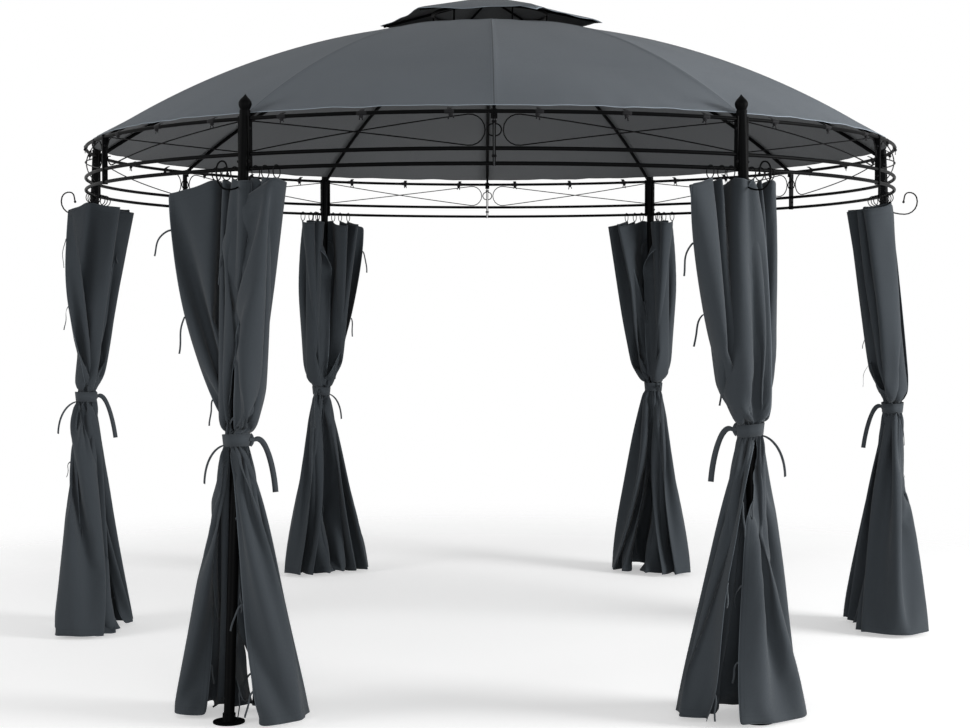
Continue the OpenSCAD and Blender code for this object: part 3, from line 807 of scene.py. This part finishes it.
def build_vent_cap():
    """A six sided cap over the vent, slack between its arms, with drooping corners."""
    s = np.linspace(VENT_FIRST_SHARE, 1, VENT_ROWS + 1)[:, None]
    c = np.tile(np.arange(VENT_COLS) / VENT_COLS, BAYS)[None, :]
    sector = np.repeat(np.arange(BAYS), VENT_COLS)
    a = FIRST_POST_ANGLE + VENT_TURN + BAY_ANGLE * sector
    b = a + BAY_ANGLE
    between = np.sin(math.pi * c)
    outer = np.clip((s - VENT_SAG_FROM) / (1 - VENT_SAG_FROM), 0, 1)
    reach = VENT_R * s - VENT_HEM_IN * outer**2 * between
    corner = np.clip(1 - VENT_CORNERS * np.minimum(c, 1 - c), 0, 1)
    tip = np.clip((s - (1 - VENT_TIP_SHARE)) / VENT_TIP_SHARE, 0, 1)
    nearest = np.where(c[0] < 0.5, sector, (sector + 1) % BAYS)
    droop = np.array(VENT_DROOPS)[nearest]
    reach = reach + VENT_DROOP_REACH * droop * corner**2 * tip
    x = reach * ((1 - c) * np.cos(a) + c * np.cos(b))
    y = reach * ((1 - c) * np.sin(a) + c * np.sin(b))
    sag = VENT_HEM_SAG * outer**VENT_SAG_POWER * between
    phase = 2 * math.pi * c * VENT_FLUTTERS + VENT_FLUTTER_STEP * sector
    flutter = VENT_FLUTTER * outer**2 * np.sin(phase)
    z = VENT_POINT_Z + VENT_LIFT - VENT_H * s - sag + flutter * between
    z = z - droop * corner * tip**2
    points = np.stack([x, y, z + 0 * x], -1)
    rows, cols = points.shape[:2]
    run = np.linalg.norm(np.diff(points, axis=0), axis=2).mean(1)
    v = np.concatenate([[0], np.cumsum(run)])
    v = v[-1] - v
    chord = 2 * VENT_R * math.sin(BAY_ANGLE / 2)
    centred = np.tile(np.arange(VENT_COLS) / VENT_COLS, BAYS)
    u0 = (np.where(centred < 0.5, centred, centred - 1) * chord)[None, :] * s
    step = 1 / VENT_COLS
    u1 = (np.where(centred < 0.5, centred + step, centred + step - 1) * chord)[None, :] * s
    vv = np.repeat(v[:, None], cols, 1)
    uv = np.stack([np.stack([u0[:-1], vv[:-1]], -1), np.stack([u0[1:], vv[1:]], -1),
                   np.stack([u1[1:], vv[1:]], -1), np.stack([u1[:-1], vv[:-1]], -1)], -2)
    faces = [list(f) for f in grid_faces(rows, cols, wrap=True)]
    uv = list(uv.reshape(-1, 2))
    point = len(points.reshape(-1, 3))
    for k in range(cols):
        faces.append([point, k, (k + 1) % cols])
        uv.extend([(0, v[0]), (VENT_POINT_U, v[0]), (VENT_POINT_U, v[0])])
    verts = np.vstack([points.reshape(-1, 3), [[0, 0, VENT_POINT_Z + VENT_LIFT]]])
    # The inner faces of the cap take the painted shade material of its underside
    obj = add_object("vent_cloth", verts, faces, [canopy_cloth, vent_under_painted_shade], uv)
    add_solidify(obj, CLOTH_T, 1, 1)
    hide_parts("vent_canopy")


# Curtains

def smooth_line(points, count):
    """Even points along a rounded line through corners, its length, and each corner's share of it."""
    p = np.array(points, float)
    ends = np.vstack([2 * p[0] - p[1], p, 2 * p[-1] - p[-2]])
    t = np.linspace(0, 1, LINE_STEPS, endpoint=False)[:, None]
    fine = []
    for k in range(1, len(ends) - 2):
        a, b, c, d = ends[k - 1:k + 3]
        square = 2 * a - 5 * b + 4 * c - d
        cube = 3 * b - a - 3 * c + d
        fine.append(0.5 * (2 * b + (c - a) * t + square * t**2 + cube * t**3))
    fine = np.vstack(fine + [p[-1:]])
    run = np.concatenate([[0], np.cumsum(np.linalg.norm(np.diff(fine, axis=0), axis=1))])
    at = np.linspace(0, run[-1], count)
    line = np.stack([np.interp(at, run, fine[:, 0]), np.interp(at, run, fine[:, 1])], 1)
    return line, run[-1], run[::LINE_STEPS] / run[-1]


def to_length(points, length, count):
    """The rounded line through points, its folds deepened or flattened until it has that length."""
    p = np.array(points, float)
    low, high = FOLD_RANGE
    for _ in range(FOLD_TRIES):
        k = (low + high) / 2
        line, run, shares = smooth_line(p * [1, k], count)
        if run < length:
            low = k
        else:
            high = k
    return line, shares


def waist_line(count, outwards_first):
    """Half of the pleated bundle round the post."""
    u = np.linspace(0, 1, count)
    turn = WAIST_FROM + (WAIST_TO - WAIST_FROM) * u
    if outwards_first:
        turn = turn[::-1]
    wave = 0.5 - 0.5 * np.cos(2 * math.pi * WAIST_PLEATS * u)
    r = WAIST_IN_R + (WAIST_OUT_R - WAIST_IN_R) * wave
    return np.stack([np.maximum(r * np.cos(turn), WAIST_PAST), r * np.sin(turn)], 1)


def curtain_start(style):
    """Hanging and gathered points of a half, as (outwards, along the tube, height), and what is held."""
    n = CURTAIN_COLS + 1
    rows = ROWS_UP + ROWS_DOWN + 1
    top, top_at = to_length(style["top"], CURTAIN_W, n)
    hem, hem_at = to_length(style["hem"], CURTAIN_W, n)
    waist = waist_line(n, style["hem"][0][1] > style["hem"][-1][1])
    ring_at = top_at[style["rings"]]
    share = np.linspace(0, 1, n)
    to_ring = np.min(np.abs(share[:, None] - ring_at[None, :]), axis=1)
    dip = TOP_DIP * np.clip(to_ring / TOP_DIP_SHARE, 0, 1)
    free = np.clip((share - ring_at[-1]) / max(1 - ring_at[-1], SMALL_SHARE), 0, 1)
    top_z = CURTAIN_TOP_Z - dip - style["droop"] * free
    hung = np.zeros((rows, n, 3))
    tied = np.zeros((rows, n, 3))
    for j in range(rows):
        if j <= ROWS_UP:
            s = j / ROWS_UP
            plan = top
            drop = top_z - style["up"] * s
            k = s**TIED_UP_POWER
            mixed = top * (1 - k) + waist * k
            height = top_z * (1 - s) + WAIST_Z * s
        else:
            s = (j - ROWS_UP) / ROWS_DOWN
            plan = hem
            drop = CURTAIN_TOP_Z - style["up"] - (CURTAIN_L - style["up"]) * s + 0 * share
            k = s**TIED_DOWN_POWER
            mixed = waist * (1 - k) + hem * k
            height = WAIST_Z * (1 - s) + CURTAIN_HEM_Z * s + 0 * share
        hung[j] = np.stack([post_out(drop) + plan[:, 1], plan[:, 0], drop], 1)
        tied[j] = np.stack([post_out(height) + mixed[:, 1], mixed[:, 0], height], 1)
    held = np.zeros((rows, n), bool)
    held[ROWS_UP - WAIST_ROWS:ROWS_UP + WAIST_ROWS + 1] = True
    for row, at in ((0, top_at[style["pegs"]]), (-1, hem_at)):
        held[row, np.round(at * CURTAIN_COLS).astype(int)] = True
    return hung, tied, held


def hang_curtains():
    """Cloth simulation of each style: the waist is drawn to the post while top and fold tips are held."""
    starts = {name: curtain_start(style) for name, style in STYLES.items()}
    scene = bpy.context.scene
    panels = {}
    for name, (hung, tied, held) in starts.items():
        rows, cols = held.shape
        mesh = bpy.data.meshes.new(name)
        mesh.from_pydata(hung.reshape(-1, 3).tolist(), [], grid_faces(rows, cols).tolist())
        obj = bpy.data.objects.new(name, mesh)
        scene.collection.objects.link(obj)
        obj.shape_key_add(name="hung")
        key = obj.shape_key_add(name="tied")
        key.data.foreach_set("co", tied.reshape(-1))
        for at, value in ((1, 0), (1 + GATHER_FRAMES, 1)):
            key.value = value
            key.keyframe_insert("value", frame=at)
        group = obj.vertex_groups.new(name="held")
        group.add(np.flatnonzero(held.reshape(-1)).tolist(), 1.0, "REPLACE")
        mod = obj.modifiers.new("Cloth", "CLOTH")
        cloth = mod.settings
        cloth.quality = 7
        cloth.mass = 0.25
        cloth.air_damping = 3
        cloth.tension_stiffness = 30
        cloth.compression_stiffness = 25
        cloth.shear_stiffness = 10
        cloth.bending_stiffness = 2.5
        cloth.tension_damping = 12
        cloth.compression_damping = 12
        cloth.shear_damping = 12
        cloth.bending_damping = 1.5
        cloth.vertex_group_mass = "held"
        mod.collision_settings.use_collision = True
        mod.collision_settings.distance_min = POLE_GAP
        mod.collision_settings.use_self_collision = False
        mod.point_cache.frame_start = 1
        mod.point_cache.frame_end = GATHER_FRAMES + SETTLE_FRAMES
        panels[name] = obj
    bpy.ops.mesh.primitive_cylinder_add(radius=POST_R, depth=POST_TOP_Z + POLE_EXTRA,
                                        location=(FOOT_SPLAY / 2, 0, POST_TOP_Z / 2),
                                        rotation=(0, -math.atan(FOOT_SPLAY / POST_TOP_Z), 0))
    pole = bpy.context.object
    pole.modifiers.new("Collision", "COLLISION")
    pole.collision.thickness_outer = POLE_GAP
    scene.frame_start = 1
    scene.frame_end = GATHER_FRAMES + SETTLE_FRAMES
    for f in range(1, GATHER_FRAMES + SETTLE_FRAMES + 1):
        scene.frame_set(f)
    graph = bpy.context.evaluated_depsgraph_get()
    done = {}
    for name, obj in panels.items():
        shape = obj.evaluated_get(graph).to_mesh()
        flat = np.zeros(len(shape.vertices) * 3)
        shape.vertices.foreach_get("co", flat)
        done[name] = flat.reshape(starts[name][0].shape)
        obj.evaluated_get(graph).to_mesh_clear()
    for obj in list(panels.values()) + [pole]:
        mesh = obj.data
        bpy.data.objects.remove(obj)
        bpy.data.meshes.remove(mesh)
    for action in list(bpy.data.actions):
        bpy.data.actions.remove(action)
    scene.frame_set(1)
    return done


def clear_of_post(shape):
    """A half curtain with its rows led round the post where they would run through it."""
    done = shape.copy()
    for row in done:
        middle = post_out(row[:, 2])
        out = row[:, 0] - middle
        angle = np.arctan2(row[:, 1], out)
        inside = np.flatnonzero(np.hypot(out, row[:, 1]) < POST_CLEAR_R)
        for run in np.split(inside, np.flatnonzero(np.diff(inside) > 1) + 1):
            if len(run) == 0:
                continue
            way = angle[run]
            if run[0] > 0 and run[-1] < len(row) - 1:
                first = angle[run[0] - 1]
                span = (angle[run[-1] + 1] - first + math.pi) % (2 * math.pi) - math.pi
                way = first + span * (np.arange(len(run)) + 1) / (len(run) + 1)
            row[run, 0] = middle[run] + POST_CLEAR_R * np.cos(way)
            row[run, 1] = POST_CLEAR_R * np.sin(way)
    return done


def build_curtains():
    """Two cloth halves at each post, with tie strings along their free edges and a strap round the waist."""
    shapes = {name: clear_of_post(shape) for name, shape in hang_curtains().items()}
    n = CURTAIN_COLS + 1
    u = np.repeat(np.linspace(0, CURTAIN_W, n)[None, :], ROWS_UP + ROWS_DOWN + 1, 0)
    for i, place in enumerate(PLACES):
        turn = FIRST_POST_ANGLE + BAY_ANGLE * i
        shift = WAIST_SHIFT[place]
        strap = build_strap(place, turn, -1 if i % 2 else 1, WAIST_Z + shift)
        for side, tag, style in ((-1, "a", HALVES[place][0]), (1, "b", HALVES[place][1])):
            shape = shapes[style]
            up = STYLES[style]["up"]
            rows_v = np.concatenate([np.linspace(0, up, ROWS_UP + 1),
                                     np.linspace(up, CURTAIN_L, ROWS_DOWN + 1)[1:]])
            v = np.repeat(rows_v[:, None], n, 1)
            z = shape[..., 2]
            above = (CURTAIN_TOP_Z - z) / (CURTAIN_TOP_Z - WAIST_Z)
            below = (z - CURTAIN_HEM_Z) / (WAIST_Z - CURTAIN_HEM_Z)
            lift = shift * np.clip(np.minimum(above, below), 0, 1)
            lift = np.maximum(lift, CURTAIN_LOW_Z - z)
            out = RING_R + shape[..., 0] + post_out(z + lift) - post_out(z)
            points = at_angle(turn, out, side * shape[..., 1], z + lift)
            faces = grid_faces(*shape.shape[:2])
            uv = grid_uv(u, v).reshape(-1, 4, 2)
            if side < 0:
                faces = faces[:, ::-1]
                uv = uv[:, ::-1]
            obj = add_object(f"curtain_{place}_{tag}", points.reshape(-1, 3), faces, [curtain_cloth], uv)
            smooth = obj.modifiers.new("Smooth", "SUBSURF")
            smooth.levels = 1
            smooth.render_levels = 1
            add_solidify(obj, CURTAIN_T, 0)
            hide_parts(f"curtain_{place}")
            strings = build_strings(f"strings_{place}_{tag}", points, turn)


def build_strings(name, points, turn):
    """Flat tie tapes that hang from the free edge of a half curtain, and from both edges below the waist."""
    soup = Soup()
    rows = points.shape[0]
    out = np.array([math.cos(turn), math.sin(turn), 0])
    down = np.array([0, 0, -1.0])
    for edge, inside, shares in ((-1, -4, STRING_HEIGHTS), (0, 3, STRING_HEIGHTS[3:])):
        for share in shares:
            j = int((share + rng.uniform(-STRING_SCATTER, STRING_SCATTER)) * (rows - 1))
            start = points[j, edge]
            away = start - points[j, inside]
            away = away / max(np.linalg.norm(away), STRING_W)
            away = away + rng.normal(0, STRING_STRAY, 3)
            length = rng.uniform(*STRING_LENGTH)
            s = np.linspace(0, 1, STRING_POINTS)[:, None]
            swing = rng.normal(0, STRING_SWING, 3)
            reach = (STRING_REACH * s * (1 - STRING_CURL * s)) * away + STRING_SWAY * s**2 * swing
            fall = STRING_FALL * s + STRING_DROP * s**STRING_DROP_POWER
            path = start + length * (reach + down * fall)
            phase = rng.uniform(0, STRING_PHASE)
            path = path + STRING_RIPPLE * np.sin(STRING_RIPPLES * s + phase) * s * out
            path[:, 2] = np.maximum(path[:, 2], STRING_LOW_Z)
            across = np.cross(np.gradient(path, axis=0), out + rng.normal(0, STRING_TWIST, 3) * s)
            soup.ribbon(path, across, STRING_W, STRING_T)
    return add_object(name, soup.verts, soup.faces, [strap_cloth])


def build_strap(place, turn, side, height):
    """A wrapped strap round the waist with its knot, a broad tail and a thin one."""
    soup = Soup()
    start = math.pi / 2 * side - STRAP_START * side
    around = start + side * np.linspace(0, STRAP_TURN, STRAP_POINTS)
    grow = np.linspace(0, 1, STRAP_POINTS)
    level = height + STRAP_WAVE * np.sin(around + STRAP_WAVE_PHASE) - STRAP_SLOPE * grow
    r = STRAP_R + STRAP_GROW * grow + STRAP_RIPPLE * np.sin(STRAP_RIPPLES * around)
    r = r + STRAP_FINE * np.sin(STRAP_FINES * around + 1)
    path = np.stack([post_out(level) + r * np.cos(around), r * np.sin(around), level], 1)
    lean = np.stack([STRAP_LEAN * np.cos(around), STRAP_LEAN * np.sin(around), 1 + 0 * around], 1)
    soup.ribbon(path, lean, STRAP_H, STRAP_T)
    facing = around[-1]
    away = np.array([math.cos(facing), math.sin(facing), 0])
    aside = np.array([-math.sin(facing), math.cos(facing), 0]) * side
    up = np.array([0, 0, 1.0])
    knot = np.array([post_out(height), 0, height - KNOT_DROP]) + (r[-1] + KNOT_OUT) * away
    arc = np.linspace(-1, 1, KNOT_POINTS)[:, None]
    for rise, reach, bulge, bow, radius in KNOT_LOOPS:
        loop = knot + arc * (rise * up + reach * aside) + (bulge - bow * arc**2) * away
        soup.tube(loop, radius, KNOT_SIDES)
    s = np.linspace(0, 1, TAIL_POINTS)[:, None]
    tail = knot + away * (TAIL_OUT + TAIL_REACH * np.sin(TAIL_REACH_TURN * s)) + aside * TAIL_ASIDE * s
    arch = TAIL_ARCH * np.sin(TAIL_ARCH_TURN * s) * (1 - s)
    tail = tail + up * (arch - TAIL_DROP * s**TAIL_DROP_POWER)
    twist = TAIL_TWIST * np.clip(TAIL_TWIST_RATE * s, 0, 1)
    broad = STRAP_W * (1 - TAIL_NARROW * np.exp(-TAIL_NARROW_RATE * s[:, 0]))
    soup.ribbon(tail, up * np.cos(twist) + away * np.sin(twist) + TAIL_TILT * aside, broad, STRAP_T)
    back = np.array([math.cos(facing + THIN_TURN), math.sin(facing + THIN_TURN), 0])
    foot = np.array([post_out(height), 0, height - STRAP_H / 2]) + STRAP_R * back
    thin = foot + back * THIN_REACH * np.sin(THIN_REACH_TURN * s)
    thin = thin - up * (THIN_FALL * s + THIN_DROP * s**THIN_DROP_POWER)
    soup.ribbon(thin, THIN_RISE * up + back + TAIL_TILT * aside + 0 * s, THIN_W + 0 * s[:, 0], STRAP_T)
    local = np.array(soup.verts)
    verts = at_angle(turn, RING_R + local[:, 0], local[:, 1], local[:, 2])
    obj = add_object(f"strap_{place}", verts, soup.faces, [strap_cloth])
    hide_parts("tiebacks")
    return obj


# Bolts

def build_bolts():
    """Domed bolt heads on the bars at the posts and at the middle of each bay."""
    soup = Soup()
    heights = [RING_TOP_Z - BOLT_DROP, (RING_MID_Z + RING_LOW_Z) / 2]
    for k in range(RIBS):
        turn = FIRST_POST_ANGLE + GORE_ANGLE * k
        out = np.array([math.cos(turn), math.sin(turn), 0])
        side = np.array([-math.sin(turn), math.cos(turn), 0])
        up = np.array([0, 0, 1.0])
        face = POST_BAR_SIDE if k % 2 == 0 else MID_BAR_SIDE
        for z in heights:
            middle = RING_R + (post_out(z) if k % 2 == 0 else 0)
            for sign in (-1, 1):
                centre = middle * out + sign * face * side + z * up
                soup.ball(centre, BOLT_HEAD, np.stack([out, up, side]), BOLT_RINGS, BOLT_SIDES)
    add_object("bolts", soup.verts, soup.faces, [zinc])


# Stage, light and camera

def build_stage():
    """A pale floor that fades into the background."""
    turns = [k * math.pi / (FLOOR_SIDES / 2) for k in range(FLOOR_SIDES)]
    ring = [(FLOOR_R * math.cos(turn), FLOOR_R * math.sin(turn), FLOOR_Z) for turn in turns]
    mesh = bpy.data.meshes.new("floor")
    mesh.from_pydata(ring, [], [list(range(FLOOR_SIDES))])
    floor = bpy.data.objects.new("floor", mesh)
    bpy.context.scene.collection.objects.link(floor)
    material, tree, shader = new_material("pale_floor")
    shader.inputs["Base Color"].default_value = FLOOR_COLOUR
    shader.inputs["Roughness"].default_value = FLOOR_ROUGHNESS
    shader.inputs["Specular IOR Level"].default_value = FLOOR_SPECULAR
    where = node(tree, "ShaderNodeTexCoord").outputs["Object"]
    length = node(tree, "ShaderNodeVectorMath", operation="LENGTH")
    tree.links.new(where, length.inputs[0])
    fade = ramp(tree, length.outputs["Value"], *FLOOR_FADE)
    rays = node(tree, "ShaderNodeLightPath")
    glow = maths(tree, "MULTIPLY", rays.outputs["Is Camera Ray"], FLOOR_GLOW)
    tree.links.new(glow, shader.inputs["Emission Strength"])
    shader.inputs["Emission Color"].default_value = WHITE
    clear = node(tree, "ShaderNodeBsdfTransparent")
    mixer = node(tree, "ShaderNodeMixShader")
    tree.links.new(fade, mixer.inputs[0])
    tree.links.new(shader.outputs[0], mixer.inputs[1])
    tree.links.new(clear.outputs[0], mixer.inputs[2])
    tree.links.new(mixer.outputs[0], tree.nodes["Material Output"].inputs["Surface"])
    mesh.materials.append(material)


def add_lamp(name, at, aim, size, energy):
    data = bpy.data.lights.new(name, "AREA")
    data.shape = "DISK"
    data.size = size
    data.energy = energy
    lamp = bpy.data.objects.new(name, data)
    lamp.location = at
    lamp.rotation_euler = (Vector(aim) - Vector(at)).to_track_quat("-Z", "Y").to_euler()
    bpy.context.scene.collection.objects.link(lamp)


def build_light():
    """Three soft lamps, plain ambient light and a white backdrop."""
    for lamp in LAMPS:
        add_lamp(*lamp)
    world = bpy.data.worlds.new("studio")
    bpy.context.scene.world = world
    world.use_nodes = True
    tree = world.node_tree
    tree.nodes.clear()
    rays = node(tree, "ShaderNodeLightPath")
    seen = maths(tree, "MAXIMUM", rays.outputs["Is Camera Ray"], rays.outputs["Is Glossy Ray"])
    seen = maths(tree, "MAXIMUM", seen, rays.outputs["Is Transmission Ray"])
    ambient = node(tree, "ShaderNodeBackground")
    ambient.inputs["Color"].default_value = WHITE
    ambient.inputs["Strength"].default_value = AMBIENT
    white = node(tree, "ShaderNodeBackground")
    white.inputs["Color"].default_value = WHITE
    white.inputs["Strength"].default_value = BACKDROP
    mixer = node(tree, "ShaderNodeMixShader")
    output = node(tree, "ShaderNodeOutputWorld")
    tree.links.new(seen, mixer.inputs[0])
    tree.links.new(ambient.outputs[0], mixer.inputs[1])
    tree.links.new(white.outputs[0], mixer.inputs[2])
    tree.links.new(mixer.outputs[0], output.inputs["Surface"])


def build_camera():
    data = bpy.data.cameras.new("camera")
    data.lens = CAMERA_LENS
    data.sensor_width = CAMERA_SENSOR
    data.sensor_fit = "HORIZONTAL"
    camera = bpy.data.objects.new("camera", data)
    camera.location = CAMERA_AT
    camera.rotation_euler = CAMERA_TURN
    bpy.context.scene.collection.objects.link(camera)
    bpy.context.scene.camera = camera


for name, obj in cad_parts.items():
    obj.data.materials.clear()
    if any(name.startswith(start) for start in METAL_NODES):
        obj.data.materials.append(metal)
    elif name == "curtain_rings":
        obj.data.materials.append(ring_metal)
    elif name in ("roof_canopy", "vent_canopy"):
        obj.data.materials.append(canopy_cloth)
    else:
        obj.data.materials.append(curtain_cloth)

build_canopy()
build_hem_ties()
build_vent_cap()
build_curtains()
build_bolts()
build_stage()
build_light()
build_camera()
bpy.context.scene.view_settings.view_transform = "Standard"
